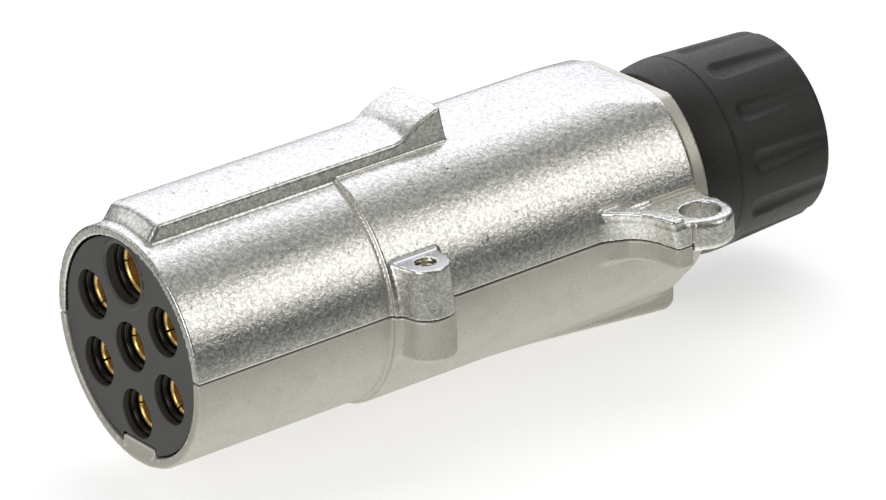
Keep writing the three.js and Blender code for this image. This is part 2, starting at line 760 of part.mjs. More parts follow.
function cableSeal() {
  const profile = [
    [SEAL_START, SEAL_BORE_RADIUS],
    [SEAL_START, SEAL_RADIUS - SEAL_CHAMFER],
    [SEAL_START + SEAL_CHAMFER, SEAL_RADIUS],
    [SEAL_END - SEAL_CHAMFER, SEAL_RADIUS],
    [SEAL_END, SEAL_RADIUS - SEAL_CHAMFER],
    [SEAL_END, SEAL_BORE_RADIUS],
    [SEAL_START, SEAL_BORE_RADIUS],
  ];
  return revolveGland(profile, SHELL_FACETS / 2);
}

function slipRing() {
  const profile = [
    [RING_START, RING_BORE_RADIUS],
    [RING_START, RING_OUTER_RADIUS],
    [RING_END, RING_OUTER_RADIUS],
    [RING_END, RING_BORE_RADIUS],
    [RING_START, RING_BORE_RADIUS],
  ];
  return revolveGland(profile, SHELL_FACETS / 2);
}

// One flute: a round-nosed cutter that lies along the nut's tapered side.
function fluteCutter(index) {
  const nose = NUT_CREASE_X + FLUTE_START_GAP + FLUTE_RADIUS;
  const taper = NUT_TAPER / (NUT_END - NUT_CREASE_X);
  const noseRadius = NUT_RADIUS - taper * (nose - NUT_CREASE_X);
  const reach = NUT_END - nose + 2 * OVERCUT;
  const nosePoints = arc(0, 0, FLUTE_RADIUS, (7 * Math.PI) / 8, Math.PI / 2, 3);
  const profile = [[-FLUTE_RADIUS, 0], ...nosePoints, [reach, FLUTE_RADIUS], [reach, 0]];
  const points = profile.map(([x, radius]) => new THREE.Vector2(radius, x));
  const geometry = new THREE.LatheGeometry(points, SMALL_FACETS);
  geometry.rotateZ(-Math.PI / 2 - Math.atan(taper));
  geometry.translate(nose, noseRadius - FLUTE_DEPTH + FLUTE_RADIUS, 0);
  geometry.rotateX(Math.PI / 2 + FLUTE_PHASE + (2 * Math.PI * index) / FLUTE_COUNT);
  return solid(geometry.translate(0, 0, -GLAND_DROP));
}

function nutBlank() {
  const roundX = NUT_END - NUT_REAR_ROUND;
  const roundRadius = NUT_RADIUS - NUT_TAPER - NUT_REAR_ROUND;
  const coneRise = NUT_RADIUS - NUT_MOUTH_RADIUS;
  return revolveGland(
    [
      [NUT_START, 0],
      [NUT_START, NUT_MOUTH_RADIUS],
      [NUT_START + NUT_CONE_LENGTH / 3, NUT_MOUTH_RADIUS + (2 * coneRise) / 3],
      [NUT_CREASE_X - NUT_CREASE, NUT_RADIUS],
      [NUT_CREASE_X, NUT_RADIUS - NUT_CREASE],
      [NUT_CREASE_X + NUT_CREASE, NUT_RADIUS],
      ...arc(roundX, roundRadius, NUT_REAR_ROUND, Math.PI / 2, 0, 3),
      [NUT_END, 0],
    ],
    SHELL_FACETS,
  );
}

function glandNut() {
  const threadEnd = NUT_START + NUT_THREAD_LENGTH;
  const hollow = revolveGland(
    [
      [NUT_START - OVERCUT, 0],
      [NUT_START - OVERCUT, THREAD_RADIUS + THREAD_GAP],
      [NUT_START + THREAD_PITCH / 2, THREAD_RADIUS + THREAD_GAP],
      [NUT_START + THREAD_PITCH / 2 + THREAD_HEIGHT, NUT_BORE],
      [threadEnd, NUT_BORE],
      [threadEnd + THREAD_HEIGHT, THREAD_RADIUS + THREAD_GAP],
      [NUT_SHOULDER, THREAD_RADIUS + THREAD_GAP],
      [NUT_SHOULDER, NUT_CABLE_RADIUS],
      [NUT_END - NUT_FLARE, NUT_CABLE_RADIUS],
      [NUT_END, NUT_CABLE_RADIUS + NUT_FLARE],
      [NUT_END + OVERCUT, NUT_CABLE_RADIUS + NUT_FLARE],
      [NUT_END + OVERCUT, 0],
    ],
    SHELL_FACETS,
  );
  const groove = threadRib(
    NUT_START - THREAD_PITCH / 2,
    threadEnd + THREAD_PITCH,
    NUT_BORE - THREAD_HEIGHT / 2,
    THREAD_RADIUS + THREAD_GAP,
    THREAD_ROOT_WIDTH + 2 * THREAD_GAP,
    THREAD_CREST_WIDTH + 2 * THREAD_GAP,
  );
  const flutes = Array.from({ length: FLUTE_COUNT }, (_, index) => fluteCutter(index));
  return cut(nutBlank(), [hollow, groove, ...flutes]);
}

// ---- Assembly ----

const plug = new THREE.Group();
plug.add(part("upper_shell", upperShell(), FINISHES.castMetal));
plug.add(part("lower_shell", lowerShell(), FINISHES.castMetalDull));
plug.add(part("contact_insert", contactInsert(), FINISHES.insertPlastic));
contactPlaces().forEach((place, index) => {
  plug.add(part(`contact_${index + 1}`, contact(place), FINISHES.brass));
  plug.add(part(`terminal_screw_${index + 1}`, terminalScrew(place), FINISHES.zincSteel));
});
for (const { side, label } of SIDES) {
  plug.add(part(`housing_screw_${label}`, housingScrew(side), FINISHES.zincSteel));
  plug.add(part(`lock_washer_${label}`, lockWasher(side), FINISHES.zincSteel));
}
plug.add(part("cable_seal", cableSeal(), FINISHES.sealRubber));
plug.add(part("slip_ring", slipRing(), FINISHES.ringPlastic));
plug.add(part("gland_nut", glandNut(), FINISHES.nutPlastic));
plug.position.set(-NUT_END / 2, 0, FOOT_DROP);

const connector = new THREE.Group();
connector.add(plug);

export default connector;
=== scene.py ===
"""Looks for the seven-pole trailer plug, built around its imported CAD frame.

Every piece is a smooth solid, described as a distance field in millimetres and meshed on a grid
whose vertices are then moved onto the exact surface. Inside a field, x runs back from the mouth,
and y = z = 0 is the barrel's axis. The frame says where that axis lies.
"""

import math

import bpy
import numpy as np
from mathutils import Matrix, Vector


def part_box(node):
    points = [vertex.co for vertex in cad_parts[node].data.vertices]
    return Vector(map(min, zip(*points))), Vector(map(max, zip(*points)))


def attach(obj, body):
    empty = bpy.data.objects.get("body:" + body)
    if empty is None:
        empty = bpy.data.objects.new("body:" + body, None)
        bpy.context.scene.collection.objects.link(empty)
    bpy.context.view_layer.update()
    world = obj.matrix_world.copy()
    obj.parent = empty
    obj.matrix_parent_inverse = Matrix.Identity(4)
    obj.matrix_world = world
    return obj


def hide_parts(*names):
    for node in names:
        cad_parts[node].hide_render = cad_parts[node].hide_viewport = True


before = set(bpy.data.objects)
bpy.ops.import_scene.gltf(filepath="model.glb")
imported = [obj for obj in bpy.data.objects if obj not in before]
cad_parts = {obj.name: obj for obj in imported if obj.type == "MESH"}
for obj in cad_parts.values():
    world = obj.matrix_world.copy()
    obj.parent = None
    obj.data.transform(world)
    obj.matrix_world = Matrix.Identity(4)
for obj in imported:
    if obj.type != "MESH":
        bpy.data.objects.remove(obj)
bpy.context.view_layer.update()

MM = 0.001
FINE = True

# Where the frame puts the mouth and the barrel's axis, in metres.
MOUTH_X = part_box("upper_shell")[0].x
CENTRE = sum(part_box("contact_7"), Vector()) / 2
ORIGIN = np.array([MOUTH_X, CENTRE.y, CENTRE.z])

# Shell sizes, in millimetres.
BARREL_RADIUS = 21.25
BARREL_LENGTH = 39.0
BARREL_BORE = 19.45
BODY_RADIUS = 22.14
BODY_END = 104.0
COLLAR_RADIUS = 20.8
COLLAR_END = 107.0
COLLAR_FLAT = 17.5
CHAMBER_RADIUS = 19.0
TOP_FLAT = 21.0
SLANT_START = 95.3
SLANT_DROP = 2.1
RIDGE_HALF = 7.0
RIDGE_RADIUS = 24.1
RIDGE_START = 0.7
RIDGE_LEAD = 3.1
CREST_RADIUS = 28.1
HOOK_START = 53.0
HOOK_RAMP = 6.3
HOOK_TOP_X = 61.4
HOOK_END = 62.3
BOSS = (44.75, 23.9)
BOSS_TOP = 9.0
BOSS_BOTTOM = -8.0
SCREW_Y = 23.7
SCREW_X = 44.8
SCREW_HOLE = 1.95
SCREW_SEAT = -4.55
EYELET = (98.2, 29.44)
EYELET_RADIUS = 5.78
EYELET_HOLE = 3.5
EYELET_TOP = 3.8
EYELET_BOTTOM = -1.8
WING_TIP = 33.9
WING_TOP = 5.5
WING_BOTTOM = -4.0
WING_REAR = 93.3
FOOT_HALF = 8.5
FOOT_START = 67.0
FOOT_END = 107.6
FOOT_DROP = 20.46
FOOT_SLOPE = 0.103
FOOT_ROUND = 2.5
PARTING = 0.15

# Gland and insert sizes, in millimetres.
GLAND_Z = -0.4
NECK_END = 126.0
NECK_RADIUS = 13.6
THREAD_CREST = 14.6
THREAD_PITCH = 3.0
NUT_START = 109.3
NUT_END = 137.5
NUT_CREASE = 116.6
NUT_MOUTH = 16.8
NUT_RADIUS = 18.13
NUT_TAPER = 1.0
FLUTES = 12
FLUTE_PHASE = math.radians(21.5)
FLUTE_RADIUS = 3.4
FLUTE_DEPTH = 0.85
FLUTE_FADE = 0.6
INSERT_FACE = 0.5
INSERT_END = 36.0
WELL_LIP = 0.45

# The slip ring and the cable seal: outer and inner radius, and where they start and end.
RING = (13.2, 7.6)
RING_SPAN = (127.9, 129.5)
SEAL = (11.1, 6.5)
SEAL_SPAN = (110, 127.6)

# The key tab at the bottom of the mouth: half its width, its top, and its outer radius.
TAB_HALF = 4.75
TAB_TOP = -17.45
TAB_RADIUS = 20.4
TAB_GAP = 0.3

# Inside the shells: the insert's seat and stop rib, the chamber and its cone, and the neck's two bores.
MOUTH_DEPTH = 6.3
INSERT_SEAT = (19.0, 36.3)
STOP_RIB = (18.1, 38.5)
CHAMBER_SPAN = (38.3, 100.9)
CONE = ((92.16, CHAMBER_RADIUS), (100.86, 9.5))
NECK_BORE = 9.5
SEAL_SEAT = (11.4, 109.7)

# Inside the nut: the thread's clearance and bore, and the hole for the cable.
NUT_ROOM = 14.95
NUT_BORE = 13.95
NUT_RELIEF_END = 110.8
NUT_CABLE_HOLE = 8.6

# Housing screws and their washers.
SCREW_PITCH = 0.7
SCREW_CORE = 1.4
SCREW_TIP = 6.0
HEAD_RADIUS = 2.9
HEAD_LOW = -7.95
HEAD_HIGH = -5.55
WASHER_MIDDLE = 2.47
WASHER_SPAN = (-5.5, -4.6)

# What near() gives outside its box: further off than any fillet or cut can reach.
FAR = 40.0


# ---- Distance fields ----


def join_round(a, b, r):
    """Both solids, with a fillet of radius r where they meet."""
    return np.maximum(r, np.minimum(a, b)) - np.hypot(np.maximum(r - a, 0), np.maximum(r - b, 0))


def keep_round(a, b, r):
    """What both solids share, with its edges rounded to radius r."""
    return np.minimum(-r, np.maximum(a, b)) + np.hypot(np.maximum(r + a, 0), np.maximum(r + b, 0))


def cut_round(a, b, r):
    """Solid a without solid b, with the cut's edges rounded to radius r."""
    return keep_round(a, -b, r)


def slab(value, low, high):
    return np.maximum(low - value, value - high)


def near(low, high, field, p):
    """A field that is worked out only inside a box, for a feature that is small beside the whole."""
    inside = np.all((p >= np.array(low)) & (p <= np.array(high)), axis=1)
    out = np.full(len(p), FAR)
    if inside.any():
        out[inside] = field(p[inside])
    return out


def radius(p, z=0.0):
    """Distance from the lengthwise axis at height z."""
    return np.hypot(p[:, 1], p[:, 2] - z)


def mirrored(field):
    """A feature that is described at +Y, and stands on both sides."""
    return lambda p: field(np.column_stack([p[:, 0], np.abs(p[:, 1]), p[:, 2]]))


def line_field(u, v, start, end):
    """Signed distance to the line from start to end, negative on its right."""
    du, dv = end[0] - start[0], end[1] - start[1]
    return ((v - start[1]) * du - (u - start[0]) * dv) / math.hypot(du, dv)


def profile_field(u, v, points, r):
    """The region below a convex run of lines, with its corners rounded."""
    fields = [line_field(u, v, a, b) for a, b in zip(points, points[1:])]
    out = fields[0]
    for f in fields[1:]:
        out = keep_round(out, f, r)
    return out


def thread_field(p, root, crest, root_half, crest_half, start, end):
    """A right-hand thread's rib around the gland's axis."""
    y, z = p[:, 1], p[:, 2] - GLAND_Z
    r = np.hypot(y, z)
    turn = (p[:, 0] - COLLAR_END) / THREAD_PITCH - np.arctan2(z, y) / (2 * np.pi)
    off = np.abs(turn - np.round(turn)) * THREAD_PITCH
    half = root_half + (crest_half - root_half) * (r - root) / (crest - root)
    rib = keep_round((off - half) * 0.9, r - crest, 0.15)
    return np.maximum(rib, slab(p[:, 0], start, end))


# ---- Meshing ----


def spans(*pieces):
    """Grid lines from (start, stop, step) pieces laid end to end."""
    lines = [np.arange(a, b - step / 2, step) for a, b, step in pieces]
    return np.concatenate([*lines, [pieces[-1][1]]])


def net_vertices(values, inside, axes):
    """One vertex for each grid cell that the surface crosses, and each cell's vertex number."""
    nx, ny, nz = (n - 1 for n in values.shape)
    count = np.zeros((nx, ny, nz), np.int8)
    for i, j, k in np.ndindex(2, 2, 2):
        count += inside[i : nx + i, j : ny + j, k : nz + k]
    cells = np.argwhere((count > 0) & (count < 8))
    number = np.full((nx, ny, nz), -1, np.int64)
    number[tuple(cells.T)] = np.arange(len(cells))
    total = np.zeros((len(cells), 3))
    crossings = np.zeros(len(cells))
    for axis in range(3):
        step = np.eye(3, dtype=int)[axis]
        others = [a for a in range(3) if a != axis]
        for i, j in np.ndindex(2, 2):
            low = cells.copy()
            low[:, others[0]] += i
            low[:, others[1]] += j
            a, b = values[tuple(low.T)], values[tuple((low + step).T)]
            crossed = (a < 0) != (b < 0)
            share = np.where(crossed, a / np.where(a == b, 1, a - b), 0)
            point = np.stack([axes[d][low[:, d]] for d in range(3)], axis=1)
            gap = axes[axis][low[:, axis] + 1] - axes[axis][low[:, axis]]
            point[:, axis] += share * gap
            total += point * crossed[:, None]
            crossings += crossed
    return total / crossings[:, None], number


def net_faces(inside, number):
    """A quad for each grid edge that the surface crosses."""
    faces = []
    for axis in range(3):
        u, v = (axis + 1) % 3, (axis + 2) % 3
        a = np.moveaxis(inside, [axis, u, v], [0, 1, 2])
        n = np.moveaxis(number, [axis, u, v], [0, 1, 2])
        low, high = a[:-1, 1:-1, 1:-1], a[1:, 1:-1, 1:-1]
        at = np.argwhere(low != high)
        i, j, k = at[:, 0], at[:, 1], at[:, 2]
        quad = np.stack([n[i, j, k], n[i, j + 1, k], n[i, j + 1, k + 1], n[i, j, k + 1]], axis=1)
        turned = ~low[i, j, k]
        quad[turned] = quad[turned][:, ::-1]
        faces.append(quad)
    return np.concatenate(faces)


def slope(field, p, step=0.02):
    out = np.empty_like(p)
    for axis in range(3):
        move = np.zeros(3)
        move[axis] = step
        out[:, axis] = (field(p + move) - field(p - move)) / (2 * step)
    return out


def solid_arrays(field, axes):
    """Vertices on the field's surface, quads, and outward normals."""
    slabs = []
    yz = np.stack(np.meshgrid(axes[1], axes[2], indexing="ij"), axis=-1).reshape(-1, 2)
    for x in axes[0]:
        p = np.column_stack([np.full(len(yz), x), yz])
        slabs.append(field(p).astype(np.float32).reshape(len(axes[1]), len(axes[2])))
    values = np.stack(slabs)
    inside = values < 0
    p, number = net_vertices(values, inside, axes)
    for _ in range(3):
        g = slope(field, p)
        size = np.maximum((g * g).sum(1), 0.2)
        step = (field(p) / size)[:, None] * g
        length = np.maximum(np.linalg.norm(step, axis=1), 1e-9)
        p -= step * np.minimum(1, 0.25 / length)[:, None]
    normal = slope(field, p)
    normal /= np.maximum(np.linalg.norm(normal, axis=1), 1e-9)[:, None]
    return p, net_faces(inside, number), normal


def add_attribute(mesh, name, values):
    mesh.attributes.new(name, "FLOAT", "POINT").data.foreach_set("value", values.astype(np.float32))


def make_solid(name, field, axes, reach=1.2, bare_from=math.inf):
    """A smooth mesh object of a field, with how hollow and how edge-like each point is.

    Points behind bare_from count as hollow, and the flat tops of the bosses as milled.
    """
    p, faces, normal = solid_arrays(field, axes)
    mesh = bpy.data.meshes.new(name)
    mesh.from_pydata(p * MM + ORIGIN, [], faces)
    hollow = 1 - field(p + normal * reach) / reach
    edge = 1 + field(p - normal * reach * 0.4) / (reach * 0.4)
    add_attribute(mesh, "hollow", np.maximum(np.clip(hollow, 0, 1), p[:, 0] > bare_from))
    add_attribute(mesh, "edge", np.clip(edge, 0, 1))
    milled = (np.abs(p[:, 2] - BOSS_TOP) < 0.2) & (np.abs(p[:, 0] - SCREW_X) < 7) & (normal[:, 2] > 0.9)
    add_attribute(mesh, "milled", milled * (np.abs(p[:, 1]) > BODY_RADIUS - 3))
    mesh.shade_smooth()
    mesh.normals_split_custom_set_from_vertices(normal)
    made = bpy.data.objects.new(name, mesh)
    bpy.context.scene.collection.objects.link(made)
    return made


def place(piece, body, slot, *nodes):
    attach(piece, body)
    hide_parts(*nodes)
    return piece


# ---- Cast shells ----


def body_field(p):
    """Barrel, body and collar as one turned shape with the flats on top."""
    x, z, r = p[:, 0], p[:, 2], radius(p)
    barrel = keep_round(r - BARREL_RADIUS, slab(x, 0, 60), 0.45)
    body = keep_round(r - BODY_RADIUS, BARREL_LENGTH - x, 0.35)
    body = keep_round(body, z - TOP_FLAT, 1.0)
    slant = line_field(x, z, (SLANT_START, TOP_FLAT), (BODY_END, TOP_FLAT - SLANT_DROP))
    body = keep_round(body, slant, 2.0)
    body = keep_round(body, x - BODY_END, 1.0)
    collar = keep_round(r - COLLAR_RADIUS, slab(x, 60, COLLAR_END), 0.35)
    collar = keep_round(collar, z - COLLAR_FLAT, 0.35)
    return join_round(join_round(barrel, body, 0.6), collar, 0.5)


def ridge_field(p):
    """The coding ridge along the top, with the latch hook at its rear end."""
    x, r = p[:, 0], radius(p)
    ramp_top = (HOOK_START + HOOK_RAMP, CREST_RADIUS)
    ramp = line_field(x, r, (HOOK_START, RIDGE_RADIUS), ramp_top)
    hook = keep_round(r - CREST_RADIUS, ramp, 3.0)
    top = join_round(r - RIDGE_RADIUS, hook, 0.7)
    rear = line_field(x, p[:, 2], (HOOK_TOP_X, CREST_RADIUS), (HOOK_END, TOP_FLAT))
    solid = keep_round(top, rear, 0.35)
    draft = 0.05 * (RIDGE_RADIUS - p[:, 2])
    solid = keep_round(solid, np.abs(p[:, 1]) - RIDGE_HALF - draft, 0.4)
    lead_top = (RIDGE_START + RIDGE_LEAD, RIDGE_RADIUS)
    lead = line_field(x, r, (RIDGE_START, BARREL_RADIUS - 0.9), lead_top)
    return np.maximum(keep_round(solid, lead, 0.7), RIDGE_START - x)


def boss_outline(p, grow):
    """The boss from above: round at its tip and flaring towards the body."""
    x, y = p[:, 0] - BOSS[0], np.abs(p[:, 1])
    r = 4.05 + grow
    flare = 0.17 + 0.35 * grow
    tip = np.hypot(x, y - BOSS[1]) - r
    sides = (np.abs(x) - r - (BOSS[1] - y) * flare) / math.hypot(1, 0.2)
    return np.where(y > BOSS[1], tip, sides)


def upper_boss(p):
    grow = 0.4 * np.clip(1 - p[:, 2] / BOSS_TOP, 0, 1)
    return keep_round(boss_outline(p, grow), p[:, 2] - BOSS_TOP, 0.35)


def lower_boss(p):
    grow = 0.4 - 0.3 * np.clip(p[:, 2] / BOSS_BOTTOM, 0, 1)
    return keep_round(boss_outline(p, grow), BOSS_BOTTOM - p[:, 2], 0.9)


# The curve of the wing's front in plan, as y and x, at its foot and at its rim.
WING_FOOT = (
    [21.0, 23.0, 24.2, 25.6, 27.2, 29.2, 31.6, 35.0],
    [82.0, 84.4, 86.6, 87.9, 88.7, 89.3, 89.6, 90.0],
)
WING_RIM = (
    [21.0, 23.4, 25.4, 27.4, 29.4, 31.6, 33.9, 35.0],
    [82.4, 83.9, 85.6, 87.0, 87.9, 88.5, 88.8, 88.9],
)


def wing_front(p, lean):
    """How far a point is in front of the wing's curved face."""
    y = np.abs(p[:, 1])
    foot = np.interp(y, *WING_FOOT)
    rim = np.interp(y, *WING_RIM)
    share = np.clip(p[:, 2] / WING_TOP, 0, 1) ** 1.3 * lean
    steep = np.interp(y, [22, 25, 28, 31], [0.62, 0.75, 0.93, 0.99])
    return (foot + (rim - foot) * share - p[:, 0]) * steep


def wing_wall(p):
    y, front = np.abs(p[:, 1]), wing_front(p, 1.0)
    wall = keep_round(front, -front - 2.75, 0.4)
    wall = keep_round(wall, y - WING_TIP, 0.7)
    return keep_round(wall, p[:, 2] - WING_TOP, 0.55)


def eyelet_outline(p):
    """The eyelet's ring and the web that runs from it to the wing and the body."""
    x, y = p[:, 0], np.abs(p[:, 1])
    ring = np.hypot(x - EYELET[0], y - EYELET[1]) - EYELET_RADIUS
    outer = slab(y, 0, EYELET[1] + EYELET_RADIUS - 0.35 - np.maximum(0, EYELET[0] - x) * 0.33)
    rear = line_field(x, y, (EYELET[0] + EYELET_RADIUS, EYELET[1] - 1.5), (103.6, 20.0))
    web = np.maximum(np.maximum(outer, rear), x - EYELET[0] - 5.5)
    web = np.maximum(web, y - EYELET[1] - 0.4 * EYELET_RADIUS - (EYELET[0] - x) * 0.6)
    return join_round(ring, web, 0.6)


def eyelet(p):
    flat = keep_round(eyelet_outline(p), 91.0 - p[:, 0], 0.3)
    middle = (EYELET_TOP + EYELET_BOTTOM) / 2
    half = (EYELET_TOP - EYELET_BOTTOM) / 2
    return keep_round(flat, np.abs(p[:, 2] - middle) - half, 1.25)


def upper_web(p):
    """The floor behind the wing's wall."""
    web = keep_round(wing_front(p, 1.0), p[:, 0] - WING_REAR, 0.4)
    web = keep_round(web, np.abs(p[:, 1]) - WING_TIP, 0.7)
    return keep_round(web, p[:, 2] - EYELET_TOP, 0.3)


def shell_hollow(p):
    """Insert seat, stop rib and wiring chamber, with the neck's bore."""
    x, r = p[:, 0], radius(p)
    seat = np.maximum(r - BARREL_BORE, x - MOUTH_DEPTH)
    insert = np.maximum(r - INSERT_SEAT[0], x - INSERT_SEAT[1])
    rib = np.maximum(r - STOP_RIB[0], x - STOP_RIB[1])
    cone = line_field(x, r, *CONE)
    chamber = np.maximum(np.maximum(r - CHAMBER_RADIUS, cone), slab(x, *CHAMBER_SPAN))
    bore = np.maximum(radius(p, GLAND_Z) - NECK_BORE, 95 - x)
    seal = np.maximum(radius(p, GLAND_Z) - SEAL_SEAT[0], SEAL_SEAT[1] - x)
    out = np.minimum(np.minimum(seat, insert), np.minimum(rib, chamber))
    return np.minimum(out, np.minimum(bore, seal))


def neck_field(p):
    r = radius(p, GLAND_Z)
    neck = keep_round(r - NECK_RADIUS, slab(p[:, 0], 100, NECK_END), 0.6)
    rib = thread_field(p, 13.1, THREAD_CREST, 1.0, 0.35, 111, 124.5)
    return np.minimum(neck, np.maximum(rib, p[:, 0] - NECK_END))


def screw_hole(p):
    return np.hypot(p[:, 0] - SCREW_X, np.abs(p[:, 1]) - SCREW_Y) - SCREW_HOLE


def boss_thread(p):
    """The screw's thread in the upper boss, as grooves in the hole's wall."""
    y = np.where(p[:, 1] < 0, p[:, 1] + SCREW_Y, SCREW_Y - p[:, 1])
    x = p[:, 0] - SCREW_X
    turn = p[:, 2] / SCREW_PITCH - np.arctan2(y, x) / (2 * np.pi)
    off = np.abs(turn - np.round(turn)) * SCREW_PITCH
    return np.hypot(x, y) - SCREW_HOLE + 0.45 * off


def shell_whole(p, features):
    shape = join_round(body_field(p), neck_field(p), 0.3)
    for low, high, field, fillet in features:
        shape = join_round(shape, near(low, high, mirrored(field), p), fillet)
    return shape


UPPER_FEATURES = [
    ((-2, -10, 15), (70, 10, 32), ridge_field, 0.6),
    ((36, -32, -4), (54, 32, 12), upper_boss, 0.9),
    ((79, -37, -4), (97, 37, 9), upper_web, 0.9),
    ((79, -37, -4), (97, 37, 9), wing_wall, 0.45),
]


def upper_shell(p):
    z = p[:, 2]
    shape = keep_round(shell_whole(p, UPPER_FEATURES), PARTING - z, 0.12)
    ears = near((88, -38, -4), (108, 38, 7), eyelet, p)
    below = np.maximum(radius(p) - BODY_RADIUS - 0.3, z - PARTING)
    below = np.minimum(below, np.maximum(z - PARTING, p[:, 0] - WING_REAR - 0.3))
    ears = cut_round(ears, below, 0.1)
    shape = join_round(shape, ears, 0.25)
    hole = np.hypot(p[:, 0] - EYELET[0], np.abs(p[:, 1]) - EYELET[1]) - EYELET_HOLE
    shape = cut_round(shape, hole, 0.3)
    shape = cut_round(shape, near((36, -32, -4), (54, 32, 12), boss_thread, p), 0.12)
    return cut_round(shape, shell_hollow(p), 0.25)


def lower_wing(p):
    wing = keep_round(wing_front(p, 0.0), p[:, 0] - WING_REAR, 0.9)
    wing = keep_round(wing, np.abs(p[:, 1]) - WING_TIP, 0.9)
    return keep_round(wing, WING_BOTTOM - p[:, 2], 0.7)


def foot_field(p):
    x, z = p[:, 0], p[:, 2]
    bottom = -z - FOOT_DROP - FOOT_SLOPE * (x - FOOT_START)
    block = keep_round(bottom / math.hypot(1, FOOT_SLOPE), x - FOOT_END, FOOT_ROUND)
    block = keep_round(block, p[:, 1] - FOOT_HALF - 0.04 * (z + 24), 0.8)
    return np.maximum(block, np.maximum(FOOT_START - 3 - x, z + 15))


LOWER_FEATURES = [
    ((36, -32, -12), (54, 32, 4), lower_boss, 1.0),
    ((79, -37, -8), (97, 37, 4), lower_wing, 1.2),
    ((60, -13, -28), (110, 13, -10), foot_field, 1.0),
]


def lower_shell(p):
    x, z = p[:, 0], p[:, 2]
    shape = shell_whole(p, LOWER_FEATURES)
    hole = screw_hole(p)
    shape = cut_round(shape, np.maximum(hole, slab(x, 38, 52)), 0.1)
    counterbore = np.maximum(hole - 1.35, z - SCREW_SEAT)
    shape = cut_round(shape, counterbore, 0.2)
    shape = cut_round(shape, shell_hollow(p), 0.25)
    tab = keep_round(np.abs(p[:, 1]) - TAB_HALF, z - TAB_TOP, 0.5)
    tab = keep_round(tab, slab(x, 0.25, 8), 0.25)
    tab = np.maximum(tab, radius(p) - TAB_RADIUS)
    shape = np.minimum(shape, tab)
    return keep_round(shape, z + PARTING, 0.3)


# ---- Insert and contacts ----

SMALL = {"bore": 3.05, "well": 4.37, "depth": 2.0}
LARGE = {"bore": 4.2, "well": 5.25, "depth": 2.6}
RING_RADIUS = 12.3
RING_ANGLES = [30, -30, -90, -150, 150]


def ring_socket(degrees):
    angle = math.radians(degrees)
    return RING_RADIUS * math.cos(angle), RING_RADIUS * math.sin(angle), SMALL


# Each socket's y, z and sizes, in the order of the contacts' numbers.
SOCKETS = [(0.0, 13.2, LARGE), *map(ring_socket, RING_ANGLES), (0.0, 0.0, SMALL)]

# Each kind of contact: its sizes, how far its tail stands out behind, and its numbers.
CONTACT_KINDS = [
    ("earth", LARGE, 11, [1]),
    ("pole", SMALL, 11, [2, 3, 4, 5, 6]),
    ("centre", SMALL, 22, [7]),
]
CLAMP_SETBACK = 5.5
SLEEVE_WALL = 0.75
SLIT_HALF = 0.14
SLIT_LENGTH = 12
TAIL_RADIUS = 3.7
WIRE_HOLE = (2.2, 9)


def contact_well(p, socket):
    """One contact's stepped hole: well, lip and bore, as the solid that is cut away."""
    y, z, size = socket
    x, r = p[:, 0], np.hypot(p[:, 1] - y, p[:, 2] - z)
    lip = INSERT_FACE + size["depth"]
    well = keep_round(r - size["well"], x - lip, 0.3)
    throat = np.maximum(r - size["well"] + WELL_LIP, x - lip - 1)
    bore = np.maximum(r - size["bore"] - 1.0, lip + 0.5 - x)
    return np.minimum(np.minimum(well, throat), bore)


def insert_field(p):
    x, r = p[:, 0], radius(p)
    flange = keep_round(r - 19.15, slab(x, INSERT_FACE, 6), 0.2)
    core = np.maximum(r - 18.7, slab(x, 3, INSERT_END))
    shape = np.minimum(flange, core)
    rim = np.hypot(p[:, 1], p[:, 2] - SOCKETS[0][1])
    bead = keep_round(np.abs(rim - 5.95) - 0.28, INSERT_FACE - 0.14 - x, 0.1)
    shape = join_round(shape, np.maximum(bead, x - 2), 0.1)
    for socket in SOCKETS:
        y, z, size = socket
        reach = size["well"] + 1.5
        low, high = (-3, y - reach, z - reach), (40, y + reach, z + reach)
        shape = cut_round(shape, near(low, high, lambda q: contact_well(q, socket), p), 0.2)
    notch = keep_round(np.abs(p[:, 1]) - TAB_HALF - TAB_GAP, p[:, 2] - TAB_TOP - TAB_GAP, 0.4)
    return cut_round(shape, np.maximum(notch, x - 8.3), 0.15)


def contact_field(size, tail):
    """A contact on the axis: a slit sleeve in front, and a tail with a wire hole behind."""
    front = INSERT_FACE + size["depth"] + 0.75
    rear = INSERT_END + tail
    outer = size["bore"] + SLEEVE_WALL

    def field(p):
        x, r = p[:, 0], radius(p)
        sleeve = keep_round(r - outer, slab(x, front, INSERT_END - 1), 0.12)
        end = keep_round(r - TAIL_RADIUS, slab(x, INSERT_END - 2, rear), 0.3)
        shape = np.minimum(sleeve, end)
        bore = np.maximum(r - size["bore"], x - front - 20)
        lead = r - size["bore"] - 0.3 + (x - front)
        shape = cut_round(shape, np.minimum(bore, np.maximum(lead, x - front - 1)), 0.08)
        cross = np.minimum(np.abs(p[:, 1]), np.abs(p[:, 2])) - SLIT_HALF
        shape = np.maximum(shape, -np.maximum(cross, x - front - SLIT_LENGTH))
        shape = cut_round(shape, np.maximum(r - WIRE_HOLE[0], rear - WIRE_HOLE[1] - x), 0.12)
        screw = np.maximum(np.hypot(x - rear + CLAMP_SETBACK, p[:, 1]) - 1.6, -p[:, 2])
        return np.maximum(shape, -screw)

    axes = (
        spans((front - 0.5, front + 3, 0.2), (front + 3, rear - 10, 0.6), (rear - 10, rear + 0.6, 0.35)),
        spans((-outer - 0.4, outer + 0.4, 0.22)),
        spans((-outer - 0.4, outer + 0.4, 0.22)),
    )
    return field, axes


